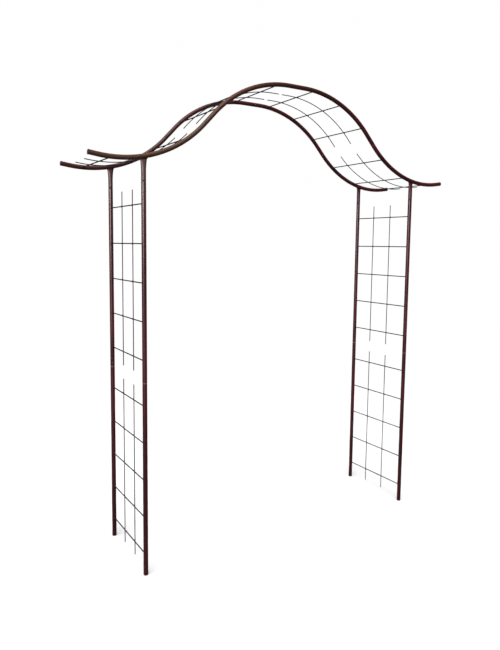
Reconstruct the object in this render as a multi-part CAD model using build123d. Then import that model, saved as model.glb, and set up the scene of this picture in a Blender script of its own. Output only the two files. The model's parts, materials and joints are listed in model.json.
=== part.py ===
from build123d import *
import os
from math import cos, sin, radians

# Garden trellis arch in welded steel tube and wire, knocked down into eight panels.
# Frame: X across the walkway, Y along it (front at -Y), Z up; origin on the ground, centred under the arch.

# ---- overall sizes (mm) ----
post_spacing = 1495.0          # left post axis to right post axis
frame_depth = 404.0            # front tube axis to back tube axis

# ---- tube and wire stock ----
tube_od = 20.0
tube_wall = 1.2
rung_dia = 5.0
wire_dia = 4.0
weld_seat = 0.3                # how deep a wire beds into each rung it crosses

# ---- plug-in tube joints: a reduced spigot enters the plain end of the next tube ----
spigot_len = 34.0
spigot_clearance = 0.2         # radial gap between spigot and bore
shoulder_len = 3.0             # length of the cone that steps down to the spigot
spigot_lead = 0.4              # bevel at the mouth of the spigot
screw_dia = 3.5
screw_len = 9.0
screw_head_dia = 7.0
screw_head_height = 2.2
screw_head_round = 1.3
screw_cross_len = 3.9          # the cross recess in the head
screw_cross_width = 1.0
screw_cross_depth = 0.9
screw_clearance = 0.15         # radial gap in the outer tube's hole

# ---- side panels ----
side_rungs = 5                 # rungs in each side panel
side_pitch = 160.5
foot_to_rung = 90.0
joint_to_rung = 96.0           # from the middle joint to the nearest rung axis, above and below
top_joint_to_rung = 88.0       # from the highest rung axis to the joint under the wing
side_wire_overhang = 65.0

# ---- wave-shaped rails, half of one side, measured along the tube from the apex ----
bend_radius = 527.0
crown_angle = 47.0             # slope of the rail where crown and wing panels meet
apex_past_spigot = 7.0         # straight tube left beyond the apex spigot
slope_past_spigot = 24.0       # straight tube left beyond the wing's spigot
wing_start_straight = 8.0
wing_length = 548.0
tip_straight = 32.0

# ---- top panels ----
top_rungs = 3                  # rungs in each crown half and each wing
apex_to_rung = 101.0
slope_joint_to_rung = 101.0    # from the joint on the slope to the nearest rung axis, both ways
tip_to_rung = 95.0
apex_wire_gap = 19.0           # between the wire ends of the two crown halves
top_wire_overhang = 69.0

# ---- post stubs under the wings ----
stub_len = 88.0                # from the joint to the underside of the rail
flare_past_spigot = 2.0        # straight tube left above the post's spigot, below the flare
flare_width = 30.0             # outside, across the flattened end, along X
flare_thickness = 7.0          # outside, through the flattened end, along Y
flare_halfway = 0.3            # share of the flattening reached halfway up the flare

# ---- tip caps ----
cap_rim = 0.4                  # how far the cap stands out past the tube
cap_thickness = 2.4
cap_shank_len = 12.0
cap_shank_clearance = 0.1
cap_shank_wall = 1.6
cap_dimple_dia = 11.0
cap_dimple_depth = 0.8
cap_edge_round = 0.9

# ---- worked out from the above ----
tube_r = tube_od / 2
bore_r = tube_r - tube_wall
spigot_r = bore_r - spigot_clearance
spigot_bore_r = spigot_r - tube_wall
joint_len = shoulder_len + spigot_len
seat_gap = shoulder_len * (tube_r - bore_r) / (tube_r - spigot_r)
rung_r = rung_dia / 2
wire_r = wire_dia / 2
wire_offset = rung_r + wire_r - weld_seat
wire_bay = (frame_depth - tube_od) / 3        # two wires make three equal bays between the tubes
wire_y = wire_bay / 2
post_x = post_spacing / 2
panel_run = (side_rungs - 1) * side_pitch
lower_top = foot_to_rung + panel_run + joint_to_rung
upper_bottom = lower_top + seat_gap
upper_top = lower_top + joint_to_rung + panel_run + top_joint_to_rung
crown_arc_len = bend_radius * radians(crown_angle)
apex_straight = joint_len + apex_past_spigot
crown_end_straight = joint_len + slope_past_spigot
crown_length = apex_straight + crown_arc_len + crown_end_straight
tip_station = crown_length + wing_length
wing_arc_len = wing_length - wing_start_straight - tip_straight
crown_pitch = (crown_length - apex_to_rung - slope_joint_to_rung) / (top_rungs - 1)
wing_pitch = (wing_length - slope_joint_to_rung - tip_to_rung) / (top_rungs - 1)

PARTS = {}


def keep(name, shape):
    """Store one named node."""
    PARTS[name] = shape


# ------------------------------------------------------------------ rail centre line
# Each stretch is (length, curvature); negative curvature bends downwards.
STRETCHES = (
    (apex_straight, 0.0),
    (crown_arc_len, -1 / bend_radius),
    (crown_end_straight + wing_start_straight, 0.0),
    (wing_arc_len, 1 / bend_radius),
    (tip_straight, 0.0),
)


def trace(s):
    """Point (x, z) and slope of the right half rail at distance s from an apex at z = 0."""
    x, z, slope = 0.0, 0.0, 0.0
    left = s
    for length, bend in STRETCHES:
        step = min(left, length)
        if bend == 0.0:
            x += step * cos(slope)
            z += step * sin(slope)
        else:
            turned = slope + bend * step
            x += (sin(turned) - sin(slope)) / bend
            z -= (cos(turned) - cos(slope)) / bend
            slope = turned
        left -= step
        if left <= 0:
            break
    return x, z, slope


def station_over(across):
    """Distance along the rail from the apex to the point straight above x = across."""
    low, high = 0.0, tip_station
    for _ in range(50):
        middle = (low + high) / 2
        if trace(middle)[0] < across:
            low = middle
        else:
            high = middle
    return high


# The posts and their stubs carry the rails, so they set the height of the apex.
_, post_drop, post_slope = trace(station_over(post_x))
apex_height = upper_top + stub_len + tube_r / cos(post_slope) - post_drop


def station(s, offset=0.0):
    """Point (x, z) and slope of the right half rail at distance s from the apex, offset upwards."""
    x, z, slope = trace(s)
    return x - offset * sin(slope), apex_height + z + offset * cos(slope), slope


def rail_point(s, y, offset=0.0):
    x, z, _ = station(s, offset)
    return Vector(x, y, z)


def rail_path(start, end, y, offset=0.0):
    """Centre line of a tube or wire that follows the rail between two stations."""
    edges = []
    reached = 0.0
    for length, bend in STRETCHES:
        a = max(start, reached)
        b = min(end, reached + length)
        reached += length
        if b - a < 1e-6:
            continue
        first, last = rail_point(a, y, offset), rail_point(b, y, offset)
        if bend == 0.0:
            edges.append(Edge.make_line(first, last))
        else:
            middle = rail_point((a + b) / 2, y, offset)
            edges.append(Edge.make_three_point_arc(first, middle, last))
    return Wire(edges)


def rail_plane(s, y, uphill=False):
    """Plane square to the rail at station s; its normal points away from the apex unless uphill."""
    _, _, slope = station(s)
    along = Vector(cos(slope), 0, sin(slope))
    if uphill:
        along = along * -1
    return Plane(origin=rail_point(s, y), x_dir=(0, 1, 0), z_dir=along)


def swept(section_radii, start, end, y, offset=0.0):
    """Round bar or tube along the rail; section_radii is (outer,) or (outer, inner)."""
    path = rail_path(start, end, y, offset)
    x, z, slope = station(start, offset)
    plane = Plane(origin=(x, y, z), x_dir=(0, 1, 0), z_dir=(cos(slope), 0, sin(slope)))
    solid = sweep(plane * Circle(section_radii[0]), path=path)
    if len(section_radii) == 2:
        solid -= sweep(plane * Circle(section_radii[1]), path=path)
    return solid


# ------------------------------------------------------------------ shared details
UPWARDS = (Align.CENTER, Align.CENTER, Align.MIN)


def spigot(plane):
    """Reduced tube end, standing on the plane: a cone that steps down, then a straight spigot."""
    outline = Polyline(
        (bore_r, 0), (tube_r, 0), (spigot_r, shoulder_len), (spigot_r, joint_len - spigot_lead),
        (spigot_r - spigot_lead, joint_len), (spigot_bore_r, joint_len), (spigot_bore_r, shoulder_len),
        close=True,
    )
    profile = Plane.XZ * make_face(outline)
    return plane * revolve(profile, Axis.Z)


def drilled(shape, point, direction, radius):
    """Cut a radial hole from a tube axis outwards."""
    return shape - Plane(origin=point, z_dir=direction) * Cylinder(radius, tube_od, align=UPWARDS)


def joint_screw(point, direction):
    """Round-head screw whose head seats on the tube wall."""
    head = Cylinder(screw_head_dia / 2, screw_head_height, align=UPWARDS)
    head = fillet(head.edges().group_by(Axis.Z)[-1], screw_head_round)
    for turn in (0, 90):
        cut = Box(screw_cross_len, screw_cross_width, screw_cross_depth, align=UPWARDS)
        head -= Pos(0, 0, screw_head_height - screw_cross_depth) * Rot(0, 0, turn) * cut
    shank = Pos(0, 0, -screw_len) * Cylinder(screw_dia / 2, screw_len, align=UPWARDS)
    seat = Vector(point) + Vector(direction) * tube_r
    return Plane(origin=seat, z_dir=direction) * (head + shank)


SCREWS = {"post_middle_screws": [], "post_top_screws": [], "slope_screws": [], "apex_screws": []}


def mirrored(shape):
    """The same piece on the left half of the arch."""
    return mirror(shape, about=Plane.YZ)


# ------------------------------------------------------------------ posts
def straight_tube(x, y, low, high):
    """Post tube with a spigot on top."""
    tube = Cylinder(tube_r, high - low, align=UPWARDS) - Cylinder(bore_r, high - low, align=UPWARDS)
    return Pos(x, y, low) * tube + spigot(Plane(origin=(x, y, high)))


def post_pair(side, row):
    """Lower and upper post at one corner, with their joint screws."""
    x = side[1] * post_x
    y = row[1] * frame_depth / 2
    inward = (0, -row[1], 0)
    name = f"{side[0]}_{row[0]}"
    middle = (x, y, upper_bottom + spigot_len / 2)
    lower = drilled(straight_tube(x, y, 0, lower_top), middle, inward, screw_dia / 2)
    upper = straight_tube(x, y, upper_bottom, upper_top)
    upper = drilled(upper, middle, inward, screw_dia / 2 + screw_clearance)
    top = (x, y, upper_top + seat_gap + spigot_len / 2)
    upper = drilled(upper, top, inward, screw_dia / 2)
    keep(f"lower_post_{name}", lower)
    keep(f"upper_post_{name}", upper)
    SCREWS["post_middle_screws"].append(joint_screw(middle, inward))
    SCREWS["post_top_screws"].append(joint_screw(top, inward))


# ------------------------------------------------------------------ post stubs
def flare_section(z, share, inset):
    """Outline of the stub at height z: round at share 0, fully flattened along X at share 1."""
    half_width = tube_r + share * (flare_width / 2 - tube_r)
    half_thickness = tube_r + share * (flare_thickness / 2 - tube_r)
    return Plane(origin=(0, 0, z)) * Ellipse(half_width - inset, half_thickness - inset)


def stub_bar(inset):
    """Solid stub, round and then flaring, inset from its outside by the given wall."""
    low = upper_top + seat_gap
    flare_start = upper_top + joint_len + flare_past_spigot
    flare_end = upper_top + stub_len
    halfway = (flare_start + flare_end) / 2
    bar = Pos(0, 0, low) * Cylinder(tube_r - inset, flare_start - low, align=UPWARDS)
    ends = ((flare_start, 0.0), (halfway, flare_halfway), (flare_end, 1.0))
    bar += loft([flare_section(z, share, inset) for z, share in ends])
    return bar + extrude(flare_section(flare_end, 1.0, inset), tube_r)


def stub_under_rail(y, rail_bar):
    """Short tube that takes the post's spigot; its flattened top is coped to the rail."""
    return Pos(post_x, y, 0) * (stub_bar(0.0) - stub_bar(tube_wall)) - rail_bar


# ------------------------------------------------------------------ rails
def crown_rail(y):
    """Half of the crown; its plain lower end takes the wing's spigot."""
    return swept((tube_r, bore_r), 0, crown_length, y)


def wing_rail(y):
    """Wing tube with the spigot on its uphill end."""
    start = crown_length + seat_gap
    return swept((tube_r, bore_r), start, tip_station, y) + spigot(rail_plane(start, y, uphill=True))


def tip_cap(y):
    """Push-in cap with a rounded rim, a small dimple and a hollow shank."""
    disc = Cylinder(tube_r + cap_rim, cap_thickness, align=UPWARDS)
    disc = fillet(disc.edges().group_by(Axis.Z)[-1], cap_edge_round)
    dimple = Cylinder(cap_dimple_dia / 2, cap_dimple_depth, align=UPWARDS)
    disc -= Pos(0, 0, cap_thickness - cap_dimple_depth) * dimple
    shank_r = bore_r - cap_shank_clearance
    shank = Cylinder(shank_r, cap_shank_len, align=UPWARDS)
    shank -= Cylinder(shank_r - cap_shank_wall, cap_shank_len, align=UPWARDS)
    cap = disc + Pos(0, 0, -cap_shank_len) * shank
    return rail_plane(tip_station, y) * cap


# ------------------------------------------------------------------ rungs and wires
def round_rung(x, z):
    """Uncoped rung, axis to axis, used to bed the wires."""
    return Pos(x, 0, z) * Rot(90, 0, 0) * Cylinder(rung_r, frame_depth)


def rung(x, z, bars):
    """Cross wire between the front and back tubes, coped to both."""
    bar = round_rung(x, z)
    for tube in bars:
        bar -= tube
    return bar


def post_bar(x, y, low, high):
    """Solid bar in the place of a post tube, used to cope the rungs."""
    return Pos(x, y, low) * Cylinder(tube_r, high - low, align=UPWARDS)


def side_panel(level, first_rung):
    """Rungs and two wires of one level, on both sides of the arch."""
    heights = [first_rung + i * side_pitch for i in range(side_rungs)]
    low = heights[0] - side_wire_overhang
    high = heights[-1] + side_wire_overhang
    bars = [post_bar(post_x, y, low, high) for y in (-frame_depth / 2, frame_depth / 2)]
    rungs = [rung(post_x, z, bars) for z in heights]
    beds = [round_rung(post_x, z) for z in heights]
    keep(f"{level}_side_rungs_right", Compound(children=rungs))
    keep(f"{level}_side_rungs_left", Compound(children=[mirrored(r) for r in rungs]))
    for row, sign in ROWS:
        wire = Pos(post_x - wire_offset, sign * wire_y, low) * Cylinder(wire_r, high - low, align=UPWARDS)
        for bed in beds:
            wire -= bed
        keep(f"{level}_side_wire_right_{row}", wire)
        keep(f"{level}_side_wire_left_{row}", mirrored(wire))


def top_panel(level, stations, wire_start, wire_end, bars):
    """Rungs and two wires that follow the rail, on both halves."""
    places = [station(s) for s in stations]
    rungs = [rung(x, z, bars) for x, z, _ in places]
    beds = [round_rung(x, z) for x, z, _ in places]
    keep(f"{level}_rungs_right", Compound(children=rungs))
    keep(f"{level}_rungs_left", Compound(children=[mirrored(r) for r in rungs]))
    for row, sign in ROWS:
        wire = swept((wire_r,), wire_start, wire_end, sign * wire_y, -wire_offset)
        for bed in beds:
            wire -= bed
        keep(f"{level}_wire_right_{row}", wire)
        keep(f"{level}_wire_left_{row}", mirrored(wire))


# ------------------------------------------------------------------ build
SIDES = (("left", -1), ("right", 1))
ROWS = (("front", -1), ("back", 1))

for side in SIDES:
    for row in ROWS:
        post_pair(side, row)

side_panel("lower", foot_to_rung)
side_panel("upper", lower_top + joint_to_rung)

rail_bars = [swept((tube_r,), 0, tip_station, sign * frame_depth / 2) for _, sign in ROWS]
crown_stations = [apex_to_rung + i * crown_pitch for i in range(top_rungs)]
wing_stations = [crown_length + slope_joint_to_rung + i * wing_pitch for i in range(top_rungs)]
top_panel("crown", crown_stations, apex_wire_gap / 2, crown_stations[-1] + top_wire_overhang, rail_bars)
top_panel("wing", wing_stations, wing_stations[0] - top_wire_overhang,
          wing_stations[-1] + top_wire_overhang, rail_bars)

caps = []
for (row, sign), rail_bar in zip(ROWS, rail_bars):
    y = sign * frame_depth / 2
    inward = (0, -sign, 0)
    slope_at = crown_length - spigot_len / 2
    slope_point = rail_point(slope_at, y)
    crown = drilled(crown_rail(y), slope_point, inward, screw_dia / 2 + screw_clearance)
    wing = drilled(wing_rail(y), slope_point, inward, screw_dia / 2)
    stub = drilled(stub_under_rail(y, rail_bar), (post_x, y, upper_top + seat_gap + spigot_len / 2),
                   inward, screw_dia / 2 + screw_clearance)
    apex_point = (seat_gap + spigot_len / 2, y, apex_height)
    left_end = Plane(origin=(0, y, apex_height), x_dir=(0, 1, 0), z_dir=(1, 0, 0))
    left_crown = drilled(mirrored(crown) + spigot(left_end), apex_point, inward, screw_dia / 2)
    trim = Pos(0, y, apex_height) * Box(2 * seat_gap, 2 * tube_od, 2 * tube_od)
    right_crown = drilled(crown - trim, apex_point, inward, screw_dia / 2 + screw_clearance)
    keep(f"crown_rail_left_{row}", left_crown)
    keep(f"crown_rail_right_{row}", right_crown)
    keep(f"wing_rail_right_{row}", wing)
    keep(f"wing_rail_left_{row}", mirrored(wing))
    keep(f"post_stub_right_{row}", stub)
    keep(f"post_stub_left_{row}", mirrored(stub))
    cap = tip_cap(y)
    caps += [cap, mirrored(cap)]
    slope_screw = joint_screw(slope_point, inward)
    SCREWS["slope_screws"] += [slope_screw, mirrored(slope_screw)]
    SCREWS["apex_screws"].append(joint_screw(apex_point, inward))

keep("tip_caps", Compound(children=caps))
for name, screws in SCREWS.items():
    keep(name, Compound(children=screws))

os.makedirs("parts", exist_ok=True)
for name, shape in PARTS.items():
    export_step(shape, f"parts/{name}.step")
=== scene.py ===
# %% [markdown]
# # A metal trellis arch for climbing plants
# The arch is a knock-down frame of round steel tube with thin wire panels welded between the tubes. Its
# tubes, rungs, wires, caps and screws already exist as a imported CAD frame, which is loaded first. They
# could be modelled again here, but then two sets of sizes would have to agree. So the CAD pieces are only
# dressed, and what is added, the welds, is placed from the frame's own boxes and meshes.

# %% Load the frame
import json
import math
import bmesh
import bpy
from mathutils import Matrix, Vector, noise
from mathutils.bvhtree import BVHTree


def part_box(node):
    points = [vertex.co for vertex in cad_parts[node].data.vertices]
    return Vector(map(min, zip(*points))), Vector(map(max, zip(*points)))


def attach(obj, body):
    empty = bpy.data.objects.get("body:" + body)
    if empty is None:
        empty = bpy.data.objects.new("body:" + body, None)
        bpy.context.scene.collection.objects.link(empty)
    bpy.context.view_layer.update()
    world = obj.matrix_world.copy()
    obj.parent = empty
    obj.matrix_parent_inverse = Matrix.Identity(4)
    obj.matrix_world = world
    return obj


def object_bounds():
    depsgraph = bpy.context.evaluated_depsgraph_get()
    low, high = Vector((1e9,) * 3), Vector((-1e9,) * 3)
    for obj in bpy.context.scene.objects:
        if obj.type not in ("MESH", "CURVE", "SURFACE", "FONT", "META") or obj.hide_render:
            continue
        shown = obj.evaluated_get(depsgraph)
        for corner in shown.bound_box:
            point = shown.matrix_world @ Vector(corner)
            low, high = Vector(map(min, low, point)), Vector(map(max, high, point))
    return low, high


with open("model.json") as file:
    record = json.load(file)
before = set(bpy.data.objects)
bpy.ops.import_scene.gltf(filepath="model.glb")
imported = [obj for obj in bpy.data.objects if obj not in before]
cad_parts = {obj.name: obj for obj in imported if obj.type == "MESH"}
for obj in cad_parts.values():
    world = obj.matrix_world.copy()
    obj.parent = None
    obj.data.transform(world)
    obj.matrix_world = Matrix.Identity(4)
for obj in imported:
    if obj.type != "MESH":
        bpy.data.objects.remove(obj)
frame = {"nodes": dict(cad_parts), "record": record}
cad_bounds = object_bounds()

nodes = frame["nodes"]
low, high = Vector(cad_bounds[0]), Vector(cad_bounds[1])
print("pieces in the frame:", len(nodes))
print("arch size in metres:", [round(v, 3) for v in high - low])

# %% [markdown]
# ## Measuring the frame
# A rung node holds several rungs, and each of them needs welds at its own place. The places could be typed
# in, but they would be wrong as soon as a size changes. A mesh can be walked from vertex to vertex along
# its edges, so every separate piece of it, called an island, is found without knowing any size beforehand.
# The middle of an island's box is the rung's middle.

# %% Find the separate pieces of a node
SAME_POINT = 1e-6            # corners closer than this are one corner


def islands(node):
    """Corner points of each separate piece in a CAD node's mesh, as lists of vectors."""
    mesh = bmesh.new()
    mesh.from_mesh(nodes[node].data)
    bmesh.ops.remove_doubles(mesh, verts=mesh.verts, dist=SAME_POINT)
    waiting = set(mesh.verts)
    found = []
    for start in mesh.verts:             # in the mesh's own order, so that every run goes alike
        if start not in waiting:
            continue
        waiting.remove(start)
        front = [start]
        island = []
        while front:
            vert = front.pop()
            island.append(vert.co.copy())
            for edge in vert.link_edges:
                other = edge.other_vert(vert)
                if other in waiting:
                    waiting.remove(other)
                    front.append(other)
        found.append(island)
    mesh.free()
    return found


def box_of(points):
    """Lowest and highest corner of some points."""
    lowest = Vector([min(p[i] for p in points) for i in range(3)])
    highest = Vector([max(p[i] for p in points) for i in range(3)])
    return lowest, highest


def middle_of(points):
    """Middle of the box round some points."""
    lowest, highest = box_of(points)
    return (lowest + highest) / 2


PANELS = [                   # name of a panel's rungs, and the start of its wires' names
    (f"{level}_rungs_{side}", f"{level}_wire_{side}")
    for level in ("lower_side", "upper_side", "crown", "wing")
    for side in ("left", "right")
]
rungs = {rung_node: islands(rung_node) for rung_node, _ in PANELS}
print("rungs found:", sum(len(found) for found in rungs.values()))

# %% Sizes read from the frame
post_box = [Vector(corner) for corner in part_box("lower_post_right_front")]
tube_r = (post_box[1].x - post_box[0].x) / 2
post_x = (post_box[1].x + post_box[0].x) / 2
post_y = abs(post_box[1].y + post_box[0].y) / 2
rung_box = [Vector(corner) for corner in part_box("lower_side_rungs_right")]
rung_r = (rung_box[1].x - rung_box[0].x) / 2
print(f"tube radius {tube_r * 1000:.1f} mm, rung radius {rung_r * 1000:.1f} mm")
print(f"post axes at x = {post_x:.4f} m and y = {post_y:.4f} m either side of the middle")

# %% [markdown]
# ## Shader maths as plain sums
# A procedural material is a small network of nodes. Written out node by node it is hard to read, so one
# class wraps a node's output and lets Python's own operators add the Math nodes. `1 - mask` then means what
# it says. Every other kind of node comes from a single method, which sets the node's options first and then
# its sockets.

# %% A wrapped socket
X, Y, Z = 0, 1, 2            # the parts of a vector


class Signal:
    """One output of a shader node that can be used in sums."""

    def __init__(self, socket):
        self.socket = socket

    def node(self, kind, settings=None, inputs=None, output=0):
        """Add any node to this signal's tree and return one of its outputs."""
        tree = self.socket.id_data
        made = tree.nodes.new(kind)
        for key, value in (settings or {}).items():
            setattr(made, key, value)
        for key, value in (inputs or {}).items():
            if isinstance(value, Signal):
                tree.links.new(value.socket, made.inputs[key])
            else:
                made.inputs[key].default_value = value
        return Signal(made.outputs[output])

    def math(self, operation, first, second=0.0):
        """One Math node; an operation on a single value ignores the second."""
        return self.node("ShaderNodeMath", {"operation": operation}, {0: first, 1: second})

    def __add__(self, other):
        return self.math("ADD", self, other)

    def __sub__(self, other):
        return self.math("SUBTRACT", self, other)

    def __rsub__(self, other):
        return self.math("SUBTRACT", other, self)

    def __mul__(self, other):
        return self.math("MULTIPLY", self, other)

    def __abs__(self):
        return self.math("ABSOLUTE", self)

    __radd__ = __add__
    __rmul__ = __mul__

    def between(self, start, end):
        """0 below start, 1 above end, and smooth between them."""
        settings = {"interpolation_type": "SMOOTHSTEP"}
        inputs = {"Value": self, "From Min": start, "From Max": end}
        return self.node("ShaderNodeMapRange", settings, inputs)

    def blend(self, first, second):
        """Mix two colours; this signal says how much of the second there is."""
        inputs = {0: self, 6: first, 7: second}         # the Mix node's colours are its sockets 6 and 7
        return self.node("ShaderNodeMix", {"data_type": "RGBA"}, inputs, output=2)

    def under(self, colour, mask, most):
        """This colour with another over it where the mask is 1, covering at most the given share."""
        return (mask * most).blend(self, colour)

    def bump(self, strength, distance):
        """The surface normal tilted by this signal, taken as a height over the given distance in metres."""
        inputs = {"Strength": strength, "Distance": distance, "Height": self}
        return self.node("ShaderNodeBump", None, inputs)

    def stretched(self, scale):
        """A position scaled by a vector, so that marks come out long where the scale is small."""
        return self.node("ShaderNodeVectorMath", {"operation": "MULTIPLY"}, {0: self, 1: scale})

    def distance_to(self, point):
        """How far this position is from a point, in metres."""
        return self.node("ShaderNodeVectorMath", {"operation": "DISTANCE"}, {0: self, 1: point}, output=1)

    def cloud(self, scale, detail, roughness):
        """Soft noise from 0 to 1 at this position; scale counts its cells per metre."""
        inputs = {"Vector": self, "Scale": scale, "Detail": detail, "Roughness": roughness}
        return self.node("ShaderNodeTexNoise", {"noise_dimensions": "3D"}, inputs)

    def part(self, axis):
        """The X, Y or Z of a vector."""
        return self.node("ShaderNodeSeparateXYZ", None, {0: self}, output=axis)


def new_finish(name):
    """An empty material, its shader node, and the position signal that drives it."""
    made = bpy.data.materials.new(name)
    made.use_nodes = True
    tree = made.node_tree
    shader = tree.nodes["Principled BSDF"]
    place = Signal(tree.nodes.new("ShaderNodeTexCoord").outputs["Object"])
    return made, shader, place


def plug(shader, **sockets):
    """Link signals or set plain values on the shader; an underscore in a name stands for a space."""
    for key, value in sockets.items():
        target = shader.inputs[key.replace("_", " ")]
        if isinstance(value, Signal):
            target.id_data.links.new(value.socket, target)
        else:
            target.default_value = value


def linear(red, green, blue):
    """A colour picked as 0 to 255 screen values, turned by the sRGB curve into a shader's linear values."""
    def one(v):
        v = v / 255
        return v / 12.92 if v <= 0.04045 else ((v + 0.055) / 1.055) ** 2.4
    return (one(red), one(green), one(blue), 1.0)


print("mid grey in linear values:", round(linear(128, 128, 128)[0], 3))

# %% [markdown]
# ## Brown powder coat on the tubes
# Powder coat is a plastic skin, baked on after the tube is bent. From a step away it is one dark red-brown,
# but close up it is never even. The grains melt into a faint orange-peel surface, and the colour drifts
# along each tube. The sun has faded it to an olive brown high up at the front left. Upward faces get the
# same olive brown in patches, which is sun fade and painted top light together, and the coat is painted
# darker towards the feet as painted shade. A painted image could hold all this, but every tube would need
# unwrapping for it. Masks worked out from noise and from the place on the arch suit all the tubes at once,
# so they are used here.

# %% Coat colours
PLUM = linear(92, 20, 30)
OXBLOOD = linear(64, 13, 21)
OLIVE_BROWN = linear(84, 62, 32)         # faded by the sun, and painted top light on upward faces
BROWN_BLOTCH = linear(62, 36, 24)
DUST = linear(96, 66, 62)                # on the tops of the grain
RIM_HIGHLIGHT_AND_WEAR = linear(150, 120, 108)        # painted highlight on a tube's rim, as well as powder rubbed thin there
SEAM_SHADOW = linear(16, 9, 9)
# painted shade: the colour the coat darkens to towards the bottom
PAINTED_LOW_SHADE = linear(40, 9, 10)
SHEEN_TINT = (0.98, 0.88, 0.95, 1.0)     # a coat's highlights are faintly pink
TUBE_GLOSS = 0.34                        # specular level of the coat on the tubes
print("plum in linear values:", [round(v, 3) for v in PLUM[:3]])

# %% Where the coat has faded, and where top light is painted
def sunny_side(place):
    """Near 1 at the front left of the arch, less at the back, and 0 at the right."""
    left = 1 - place.part(X).between(-0.9, 0.5)
    back = place.part(Y).between(-0.1, 0.15)
    return left * (1 - 0.75 * back)


def fade_and_top_light(place, normal):
    """How far the coat has faded and is painted lighter: in patches on upward faces, which is painted top
    light as well as fade, and all round high up on the sunny side.
    """
    sunny = sunny_side(place)
    patches = place.cloud(14.0, detail=4.0, roughness=0.6).between(0.15, 0.6)
    # painted top light as well as fade: upward faces turn olive brown in patches
    upward = normal.part(Z).between(-0.1, 0.7) * patches
    high_up = place.part(Z).between(1.2, 1.9)
    return place.math("MAXIMUM", upward * (0.3 + 0.65 * sunny), 0.85 * sunny * high_up)


print("weathering masks ready")

# %% Tube coat
DRIFT_SQUEEZE = 0.12                     # along the tube, so the drift is about eight times as long as wide
POST_DULLNESS = 0.33                     # lowest roughness of the coat on posts and rails
STUB_DULLNESS = 0.52                     # the coat on the flattened stubs is duller


def tube_coat(name, along, seams, dullness):
    """Coat for tubes that run mainly along one axis; seams are joint marks, given as in post_marks."""
    made, shader, place = new_finish(name)
    normal = place.node("ShaderNodeNewGeometry", output="Normal")
    squeeze = [1.0, 1.0, 1.0]
    squeeze[along] = DRIFT_SQUEEZE
    drift = place.stretched(squeeze).cloud(26.0, detail=3.0, roughness=0.6).between(0.35, 0.68)
    faded_and_lit = fade_and_top_light(place, normal)
    # painted shade: the coat is darker towards the bottom of the arch
    low_down = 1 - place.part(Z).between(0.1, 1.35)
    blotch = place.cloud(38.0, detail=4.0, roughness=0.65).between(0.52, 0.72)
    grain = place.cloud(900.0, detail=2.0, roughness=0.6)
    skin = drift.blend(OXBLOOD, PLUM)
    # olive brown over the coat: sun fade, and painted top light on upward faces
    skin = skin.under(OLIVE_BROWN, faded_and_lit, most=0.95)
    skin = skin.under(PAINTED_LOW_SHADE, low_down, most=0.6)
    skin = skin.under(BROWN_BLOTCH, blotch, most=0.3)
    skin = skin.under(DUST, grain.between(0.55, 0.8), most=0.12)
    rough = dullness + 0.07 * drift + 0.04 * grain + 0.08 * faded_and_lit
    # joint marks: painted shade in the seams, and a painted highlight with rubbed powder on a rim
    for height, half, colour in seams:
        ring = 1 - abs(place.part(Z) - height).between(half * 0.5, half)
        joint_mark = ring * place.cloud(240.0, detail=3.0, roughness=0.7).between(0.3, 0.5)
        skin = skin.under(colour, joint_mark, most=0.9)
        rough = rough + 0.5 * joint_mark
    peel = place.cloud(230.0, detail=2.0, roughness=0.45)
    relief = (peel + 0.25 * grain).bump(strength=0.04, distance=0.0004)
    plug(shader, Base_Color=skin, Roughness=rough, Normal=relief)
    plug(shader, Coat_Weight=0.05, Coat_Roughness=0.25)
    plug(shader, Specular_IOR_Level=TUBE_GLOSS, Specular_Tint=SHEEN_TINT)
    return made

# %% [markdown]
# ## Marks at the post joints
# The posts are plugged together at mid height, and again where the post meets its stub. Each joint shows as
# a fine dark line of painted shade, and the middle one also has a pale rim above it, a painted highlight as
# well as rubbed powder. A groove in the mesh would be far too thin to catch light, so the marks are rings
# of colour, placed by the height of the joints in the frame.

# %% Coats for posts, stubs and rails
middle_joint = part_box("upper_post_right_front")[0][2]
top_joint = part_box("post_stub_right_front")[0][2]
post_marks = [               # middle height, half height, colour
    # pale rim above the middle joint: painted highlight, and rubbed powder
    (middle_joint + 0.0010, 0.0019, RIM_HIGHLIGHT_AND_WEAR),
    (middle_joint - 0.0030, 0.0022, SEAM_SHADOW),
    (top_joint - 0.0010, 0.0046, SEAM_SHADOW),
]
post_coat = tube_coat("post_coat", Z, post_marks, POST_DULLNESS)
stub_coat = tube_coat("stub_coat", Z, post_marks, STUB_DULLNESS)
rail_coat = tube_coat("rail_coat", X, [], POST_DULLNESS)
print("joint heights on the posts:", round(middle_joint, 3), round(top_joint, 3))

# %% [markdown]
# ## Coat on the rungs and wires
# The rungs and wires are a few millimetres thick. The same powder looks nearly black on them, and grey
# specks are painted on the grain as glints of light. The tubes' coat could be used again, but its marks are
# wider than a wire, so this finish has noise at a finer scale. One function makes both coats, as only their
# colours differ.

# %% Wire coat
WIRE_GLOSS = 0.16            # specular level of the coat on the rungs and wires
# painted glint colour for specks on the grain
GRAIN_GLINT = linear(96, 80, 76)


def wire_coat(name, dark, light):
    """Coat for thin bars, drifting between two colours."""
    made, shader, place = new_finish(name)
    drift = place.cloud(60.0, detail=3.0, roughness=0.6).between(0.3, 0.7)
    grain = place.cloud(1100.0, detail=2.0, roughness=0.6)
    # painted glints: grey specks on the grain
    skin = drift.blend(dark, light).under(GRAIN_GLINT, grain.between(0.5, 0.75), most=0.2)
    relief = grain.bump(strength=0.3, distance=0.0003)
    plug(shader, Base_Color=skin, Roughness=0.36 + 0.16 * drift + 0.06 * grain, Normal=relief)
    plug(shader, Specular_IOR_Level=WIRE_GLOSS, Specular_Tint=SHEEN_TINT)
    return made


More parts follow.
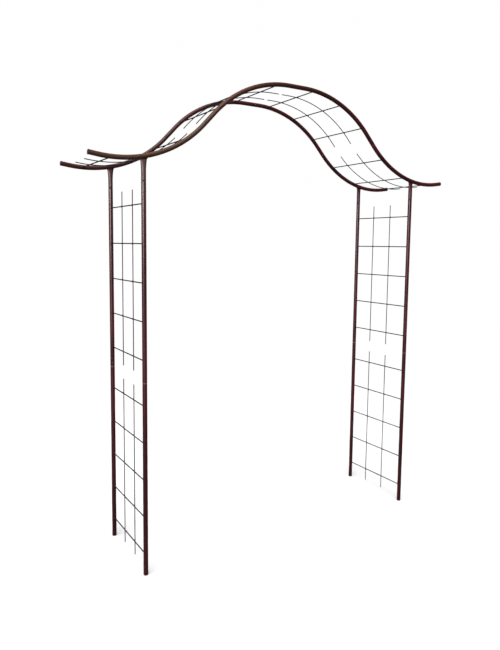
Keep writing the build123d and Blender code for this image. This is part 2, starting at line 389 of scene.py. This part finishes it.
rung_coat = wire_coat("rung_coat", linear(18, 8, 9), linear(34, 19, 19))
grid_coat = wire_coat("grid_coat", linear(17, 9, 10), linear(34, 23, 23))
print("wire coats:", rung_coat.name, grid_coat.name)

# %% [markdown]
# ## Weld, screw and cap finishes
# The welds are coated with the rest of the frame, so they are brown too, but their rippled surface holds
# more powder and looks darker and rougher. The screws are browned steel and the caps are moulded plastic,
# which has a fine, even grain and no metal in it. One finish with other numbers could stand in for all
# three, but what sets them apart is where their marks lie, so each has a function of its own.

# %% Weld coat and screw steel
WELD_DARK, WELD_LIGHT = linear(26, 9, 10), linear(52, 25, 22)
SCREW_DARK, SCREW_LIGHT = linear(52, 42, 38), linear(98, 82, 74)


def weld_coat():
    """Powder coat lying thickly on rippled weld."""
    made, shader, place = new_finish("weld_coat")
    lumps = place.cloud(420.0, detail=3.0, roughness=0.6)
    pits = place.cloud(1500.0, detail=2.0, roughness=0.7)
    skin = lumps.between(0.3, 0.7).blend(WELD_DARK, WELD_LIGHT)
    relief = (lumps + 0.4 * pits).bump(strength=0.7, distance=0.0006)
    plug(shader, Base_Color=skin, Roughness=0.42 + 0.2 * pits, Normal=relief)
    plug(shader, Specular_IOR_Level=WIRE_GLOSS)
    return made


def screw_steel():
    """Browned steel, shinier where the tarnish is thin."""
    made, shader, place = new_finish("browned_screw_steel")
    tarnish = place.cloud(700.0, detail=4.0, roughness=0.6).between(0.35, 0.65)
    relief = tarnish.bump(strength=0.25, distance=0.0002)
    plug(shader, Base_Color=tarnish.blend(SCREW_DARK, SCREW_LIGHT), Normal=relief)
    plug(shader, Roughness=0.5 - 0.2 * tarnish, Metallic=0.9)
    return made


weld_finish = weld_coat()
screw_finish = screw_steel()
print("small finishes:", weld_finish.name, screw_finish.name)

# %% Cap plastic
CAP_DARK, CAP_SCUFF = linear(30, 16, 18), linear(84, 66, 70)
# painted highlight in the middle of a cap's face
CAP_PAINTED_HIGHLIGHT = linear(158, 140, 146)
CAP_GLOSS = 0.25             # specular level of the plastic
CAP_FACE_DEPTH = 0.0025      # points this near the outermost one belong to a cap's face
HIGHLIGHT_FADE = (0.0036, 0.0058)    # the painted highlight fades out between these distances from its middle


def cap_face(points):
    """Middle of a cap's outer face: its points furthest out along the tube."""
    centre = middle_of(points)
    outermost = max(abs(p.x) for p in points)
    rim = [p for p in points if abs(p.x) > outermost - CAP_FACE_DEPTH]
    return Vector((sum(p.x for p in rim) / len(rim), centre.y, sum(p.z for p in rim) / len(rim)))


def cap_plastic(faces):
    """Dark moulded plastic with a pale spot painted in the middle of each cap's face as a highlight."""
    made, shader, place = new_finish("cap_plastic")
    grain = place.cloud(1600.0, detail=2.0, roughness=0.5)
    scuff = place.cloud(180.0, detail=4.0, roughness=0.7).between(0.45, 0.7)
    skin = (scuff * 0.35).blend(CAP_DARK, CAP_SCUFF)
    for middle in faces:
        # painted highlight: a pale spot in the middle of each cap's face
        centre_spot = 1 - place.distance_to(middle).between(*HIGHLIGHT_FADE)
        painted_highlight = centre_spot * place.cloud(420.0, detail=3.0, roughness=0.6).between(0.2, 0.6)
        skin = skin.under(CAP_PAINTED_HIGHLIGHT, painted_highlight, most=0.85)
    relief = grain.bump(strength=0.3, distance=0.0002)
    plug(shader, Base_Color=skin, Roughness=0.55 + 0.14 * grain, Normal=relief)
    plug(shader, Specular_IOR_Level=CAP_GLOSS)
    return made


cap_faces = [cap_face(points) for points in islands("tip_caps")]
cap_finish = cap_plastic(cap_faces)
print("cap faces found:", len(cap_faces))

# %% [markdown]
# ## Dressing the frame
# Every piece of the frame needs its finish. They could be given one by one, but the record already says
# which finish slot each piece belongs to, so one loop dresses the whole frame. Only the post stubs, which
# share the posts' slot, are picked out by name for their duller coat.

# %% Give every frame piece its finish
FINISH_OF_SLOT = {
    "post_tube": post_coat,
    "rail_tube": rail_coat,
    "panel_rungs": rung_coat,
    "panel_wires": grid_coat,
    "joint_screws": screw_finish,
    "tip_caps": cap_finish,
}
slot_of = {entry["node"]: entry["material_slot"] for entry in frame["record"]["subparts"]}
for name, piece in nodes.items():
    finish = stub_coat if name.startswith("post_stub") else FINISH_OF_SLOT[slot_of[name]]
    if not piece.material_slots:
        piece.data.materials.append(finish)
    for holder in piece.material_slots:
        holder.material = finish
print("dressed pieces:", len(slot_of), "in slots", sorted(FINISH_OF_SLOT))

# %% [markdown]
# ## Lumpy welds
# Each rung ends against a tube in a ring of weld. A weld is metal that has flowed, so it is a small rounded
# heap with ripples and never a clean ring. A bump in the material would leave its outline clean, so the
# welds are real geometry: one helper turns rings of points into a closed skin, and noise pushes the points
# in and out a little.

# %% Skin a stack of rings
def skin_rings(mesh, rings):
    """Join rings of equal length into a closed skin with capped ends."""
    loops = [[mesh.verts.new(point) for point in ring] for ring in rings]
    count = len(loops[0])
    for lower, upper in zip(loops, loops[1:]):
        for i in range(count):
            j = (i + 1) % count
            mesh.faces.new((lower[i], lower[j], upper[j], upper[i]))
    mesh.faces.new(list(reversed(loops[0])))
    mesh.faces.new(loops[-1])


def lump(point, size, cells):
    """How far noise moves a surface point in or out; cells are counted per metre."""
    return size * noise.noise(point * cells)


def finish_piece(name, mesh):
    """Turn a bmesh into a smooth-shaded piece that rides on the frame."""
    bmesh.ops.recalc_face_normals(mesh, faces=mesh.faces)
    for face in mesh.faces:
        face.smooth = True
    data = bpy.data.meshes.new(name)
    mesh.to_mesh(data)
    mesh.free()
    piece = bpy.data.objects.new(name, data)
    bpy.context.scene.collection.objects.link(piece)
    data.materials.append(weld_finish)
    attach(piece, "root")


print("weld tools ready")

# %% Weld collars where rungs meet the tubes
COLLAR = (                   # distance past the tube's wall, and how far it stands off the rung
    (-0.0032, 0.0002),
    (-0.0022, 0.0009),
    (-0.0010, 0.0017),
    (0.0, 0.0023),
    (0.0014, 0.0026),
)
COLLAR_POINTS = 14
COLLAR_LUMP = (0.0011, 420.0)            # size of the lumps and their cells per metre


def collar(mesh, middle, side):
    """A ring of weld round the end of a rung; side is +1 at the back tube and -1 at the front tube."""
    wall = side * (post_y - tube_r)
    rings = []
    for past, stand in COLLAR:
        ring = []
        for i in range(COLLAR_POINTS):
            turn = 2 * math.pi * i / COLLAR_POINTS
            spoke = Vector((math.cos(turn), 0, math.sin(turn)))
            point = Vector((middle.x, wall + side * past, middle.z)) + spoke * (rung_r + stand)
            ring.append(point + spoke * lump(point, *COLLAR_LUMP))
        rings.append(ring if side > 0 else list(reversed(ring)))
    skin_rings(mesh, rings)


for rung_node, _ in PANELS:
    mesh = bmesh.new()
    for island in rungs[rung_node]:
        for side in (-1, 1):
            collar(mesh, middle_of(island), side)
    finish_piece(rung_node.replace("rungs", "rung_welds"), mesh)
print("weld collars:", 2 * sum(len(found) for found in rungs.values()))

# %% [markdown]
# ## Spot welds
# A wire touches a rung in one point only. Resistance welding melts that point, and the metal squeezes out
# into the four corners between the two bars. Each corner could be filled by a fillet of its own, but a
# flattened, lumpy ball centred on the contact shows in just those corners, and is one simple shape.

# %% Spot welds where wires cross rungs
SPOT = (0.0046, 0.0048, 0.0027)          # half sizes along the wire, along the rung and through both
SPOT_LUMP = (0.0012, 330.0)              # size of the lumps and their cells per metre
SPOT_SEARCH = 6                          # a wire is looked for within this many rung radii
ALONG_RUNG = Vector((0, 1, 0))


def wire_points(node):
    """Corner points of a wire's mesh."""
    return [vertex.co.copy() for vertex in nodes[node].data.vertices]


def spot_weld(mesh, rung_middle, points):
    """A flattened lump between one rung and one wire, whose mesh corners are given."""
    lowest, highest = box_of(points)
    crossing = Vector((rung_middle.x, (lowest.y + highest.y) / 2, rung_middle.z))
    reach = SPOT_SEARCH * rung_r
    near = [p - crossing for p in points if (p - crossing).length < reach]
    toward = Vector((sum(p.x for p in near), 0, sum(p.z for p in near))).normalized()
    along_wire = toward.cross(ALONG_RUNG)
    centre = crossing + toward * rung_r
    axes = Matrix((along_wire, ALONG_RUNG, toward)).transposed().to_4x4()
    place = Matrix.Translation(centre) @ axes @ Matrix.Diagonal((*SPOT, 1.0))
    made = bmesh.ops.create_icosphere(mesh, subdivisions=3, radius=1.0, matrix=place)
    for vertex in made["verts"]:
        outward = (vertex.co - centre).normalized()
        vertex.co += outward * lump(vertex.co, *SPOT_LUMP)


spot_count = 0
for rung_node, wire_stem in PANELS:
    mesh = bmesh.new()
    for row in ("front", "back"):
        points = wire_points(wire_stem + "_" + row)
        for island in rungs[rung_node]:
            spot_weld(mesh, middle_of(island), points)
            spot_count += 1
    finish_piece(wire_stem.replace("wire", "spot_welds"), mesh)
print("spot welds:", spot_count)

# %% [markdown]
# ## Weld beads under the wings
# The flattened top of each post stub is cut to the rail's round underside and welded all the way round. A
# flat ring would cut through the rail, because the seam climbs and dips with it. So the seam's line is
# found by looking straight up from the stub's outline to the rail's mesh, and a thin, uneven roll of weld
# is skinned along that line.

# %% Skin a closed roll
ROLL_POINTS = 8
ROLL_LUMP = (0.0013, 260.0)              # size of the lumps and their cells per metre
UP = Vector((0, 0, 1))


def skin_roll(mesh, line, outwards, radius):
    """A closed roll of weld along a loop; outwards holds each point's level direction from the middle."""
    loops = []
    for point, out in zip(line, outwards):
        loop = []
        for i in range(ROLL_POINTS):
            turn = 2 * math.pi * i / ROLL_POINTS
            spoke = out * math.cos(turn) + UP * math.sin(turn)
            place = point + spoke * radius
            loop.append(mesh.verts.new(place + spoke * lump(place, *ROLL_LUMP)))
        loops.append(loop)
    for k in range(len(loops)):
        first, second = loops[k - 1], loops[k]
        for i in range(ROLL_POINTS):
            j = (i + 1) % ROLL_POINTS
            mesh.faces.new((first[i], first[j], second[j], second[i]))


print("points round a roll:", ROLL_POINTS)

# %% Beads at the stub tops
BEAD_POINTS = 44
BEAD_RADIUS = 0.0028
SEAM_SEARCH = 0.003          # how near the seam the stub is measured


def stub_half_thickness(stub, height):
    """Half the stub's thickness along Y at the height of its seam."""
    near = [v.co for v in nodes[stub].data.vertices if abs(v.co.z - height) < SEAM_SEARCH]
    lowest, highest = box_of(near)
    return (highest.y - lowest.y) / 2


def stub_bead(mesh, stub, rail):
    """Weld bead where one stub meets its rail; returns its points and the half thickness in mm."""
    data = nodes[rail].data
    corners, faces = [v.co for v in data.vertices], [f.vertices[:] for f in data.polygons]
    surface = BVHTree.FromPolygons(corners, faces)
    lowest, highest = (Vector(corner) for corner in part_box(stub))
    middle = (lowest + highest) / 2
    underside = surface.ray_cast(Vector((middle.x, middle.y, lowest.z)), UP)[0]
    half_x, half_y = (highest.x - lowest.x) / 2, stub_half_thickness(stub, underside.z)
    line, outwards = [], []
    for i in range(BEAD_POINTS):
        turn = 2 * math.pi * i / BEAD_POINTS
        across, through = math.cos(turn), math.sin(turn)
        start = Vector((middle.x + half_x * across, middle.y + half_y * through, lowest.z))
        hit = surface.ray_cast(start, UP)[0]
        if hit is not None:
            line.append(hit)
            outwards.append(Vector((across / half_x, through / half_y, 0)).normalized())
    skin_roll(mesh, line, outwards, BEAD_RADIUS)
    return len(line), round(half_y * 1000, 2)


for side in ("left", "right"):
    mesh = bmesh.new()
    found = [
        stub_bead(mesh, f"post_stub_{side}_{row}", f"wing_rail_{side}_{row}")
        for row in ("front", "back")
    ]
    finish_piece(f"stub_welds_{side}", mesh)
    print(side, "stub beads, points and half thickness in mm:", found)

# %% [markdown]
# ## Floor and backdrop
# A dark, thin frame reads best against a pale, even ground. A floor and a plain backdrop would meet in a
# horizon line, so far from the arch the floor's own paint gives way to a glow as bright as the dome behind
# it. White surroundings would also wash out a dark gloss, so the camera sees the floor and the dome, but
# they are kept out of reflections, bounced light and shadows.

# %% Floor
FLOOR_SIZE = 60.0
FLOOR_FADE = (0.8, 4.2)                  # the paint turns into glow between these distances from the middle
FLOOR_PAINT = ((0.96, 0.96, 0.96, 1.0), (0.98, 0.98, 0.98, 1.0))
BLACK, WHITE = (0, 0, 0, 1), (1, 1, 1, 1)


def camera_only(made):
    """Keep the white surroundings out of reflections, bounced light and shadows."""
    made.visible_diffuse = False
    made.visible_glossy = False
    made.visible_shadow = False


def pale_floor(size):
    """A level square under the arch, painted near it and glowing far from it."""
    data = bpy.data.meshes.new("studio_floor")
    half = size / 2
    corners = [(-half, -half, 0), (half, -half, 0), (half, half, 0), (-half, half, 0)]
    data.from_pydata(corners, [], [(0, 1, 2, 3)])
    made = bpy.data.objects.new("studio_floor", data)
    made.location.z = low.z
    bpy.context.scene.collection.objects.link(made)
    finish, shader, place = new_finish("studio_floor_paint")
    shade = place.cloud(3.0, detail=2.0, roughness=0.5).blend(*FLOOR_PAINT)
    length = place.node("ShaderNodeVectorMath", {"operation": "LENGTH"}, {0: place}, output=1)
    away = length.between(*FLOOR_FADE)
    plug(shader, Base_Color=away.blend(shade, BLACK), Roughness=0.9, Specular_IOR_Level=0.0)
    plug(shader, Emission_Color=away.blend(BLACK, WHITE), Emission_Strength=1.0)
    data.materials.append(finish)
    camera_only(made)


pale_floor(FLOOR_SIZE)
print("floor laid at z =", round(low.z, 4))

# %% Dome
DOME_RADIUS = 28.0
DOME_GLOW = ((0.995, 0.995, 0.995, 1.0), (1.0, 1.0, 1.0, 1.0))


def white_dome(radius):
    """A glowing ball round everything."""
    mesh = bmesh.new()
    bmesh.ops.create_icosphere(mesh, subdivisions=4, radius=radius)
    data = bpy.data.meshes.new("studio_dome")
    mesh.to_mesh(data)
    mesh.free()
    made = bpy.data.objects.new("studio_dome", data)
    bpy.context.scene.collection.objects.link(made)
    finish, shader, place = new_finish("studio_dome_paint")
    glow = place.cloud(0.2, detail=2.0, roughness=0.5).blend(*DOME_GLOW)
    plug(shader, Base_Color=BLACK, Roughness=1.0, Specular_IOR_Level=0.0)
    plug(shader, Emission_Color=glow, Emission_Strength=1.0)
    data.materials.append(finish)
    camera_only(made)


white_dome(DOME_RADIUS)
print("dome radius in metres:", DOME_RADIUS)

# %% [markdown]
# ## Light
# A broad, gentle sun from the upper left does the main work, and a weak one from the back right keeps the
# far sides from going black. Many small lamps could do the same, but a wide sun gives one soft shadow and
# lights all the tubes alike. One tall softbox near the left posts draws the long highlight down them. It is
# hidden from diffuse light, so that it adds a highlight and leaves the coat's colour alone.

# %% Lights
def aimed(lamp, place, aim):
    """Put a lamp at a place and turn it to a point."""
    lamp.location = place
    lamp.rotation_euler = (Vector(aim) - Vector(place)).to_track_quat("-Z", "Y").to_euler()
    bpy.context.scene.collection.objects.link(lamp)
    return lamp


def soft_sun(name, place, aim, strength, width):
    """A sun whose disc is some degrees wide, which softens its shadows."""
    data = bpy.data.lights.new(name, "SUN")
    data.energy = strength
    data.angle = math.radians(width)
    aimed(bpy.data.objects.new(name, data), place, aim)


def soft_box(name, place, aim, size, watts, spread):
    """A rectangular lamp that only draws highlights; the suns light the colours."""
    data = bpy.data.lights.new(name, "AREA")
    data.shape = "RECTANGLE"
    data.size, data.size_y = size
    data.energy = watts
    data.spread = math.radians(spread)
    lamp = aimed(bpy.data.objects.new(name, data), place, aim)
    lamp.visible_diffuse = False


arch_middle = (low + high) / 2
left_posts_top = Vector((-post_x, 0, top_joint))
soft_sun("broad_sun", (-3.0, -3.2, 7.0), arch_middle, strength=3.9, width=70.0)
soft_sun("rear_fill", (3.0, 4.0, 2.6), arch_middle, strength=0.5, width=60.0)
soft_box("post_softbox", (-3.2, -2.0, 2.5), left_posts_top, size=(0.45, 1.3), watts=85.0, spread=90.0)
print("lights set round", [round(v, 3) for v in arch_middle])

# %% Air
AIR_GLOW = 0.15              # strength of the even light from all sides
world = bpy.data.worlds.new("studio_air")
world.use_nodes = True
air = world.node_tree.nodes["Background"].inputs
air["Color"].default_value = WHITE
air["Strength"].default_value = AIR_GLOW
bpy.context.scene.world = world
bpy.context.scene.view_settings.view_transform = "Standard"
print("view transform:", bpy.context.scene.view_settings.view_transform)

# %% [markdown]
# ## Camera
# The camera stands to the front left at chest height, near enough that the left posts look clearly longer
# than the right ones. Looking down steeply would make the posts lean together, so it looks down only a
# little, and a small shift of the lens settles the arch in the frame.

# %% Camera
FOCAL_SHARE = 0.918          # focal length as a share of the frame's longer side
SENSOR = 36.0                # millimetres
LOOK_RIGHT = 31.68           # degrees from +Y towards +X
LOOK_DOWN = 5.73             # degrees below level
TILT = 0.68                  # degrees round the line of sight
SHIFT_UP = -0.0309           # lens shift as a share of the frame's longer side
CAMERA_PLACE = (-1.652, -2.488, 1.405)

camera_data = bpy.data.cameras.new("front_left_camera")
camera_data.sensor_width = SENSOR
camera_data.lens = SENSOR * FOCAL_SHARE
camera_data.shift_y = SHIFT_UP
camera = bpy.data.objects.new("front_left_camera", camera_data)
heading = Matrix.Rotation(-math.radians(LOOK_RIGHT), 4, "Z")
pitch = Matrix.Rotation(math.radians(90 - LOOK_DOWN), 4, "X")
roll = Matrix.Rotation(math.radians(TILT), 4, "Z")
camera.matrix_world = Matrix.Translation(CAMERA_PLACE) @ (heading @ pitch) @ roll
bpy.context.scene.collection.objects.link(camera)
bpy.context.scene.camera = camera
print("camera at", CAMERA_PLACE)
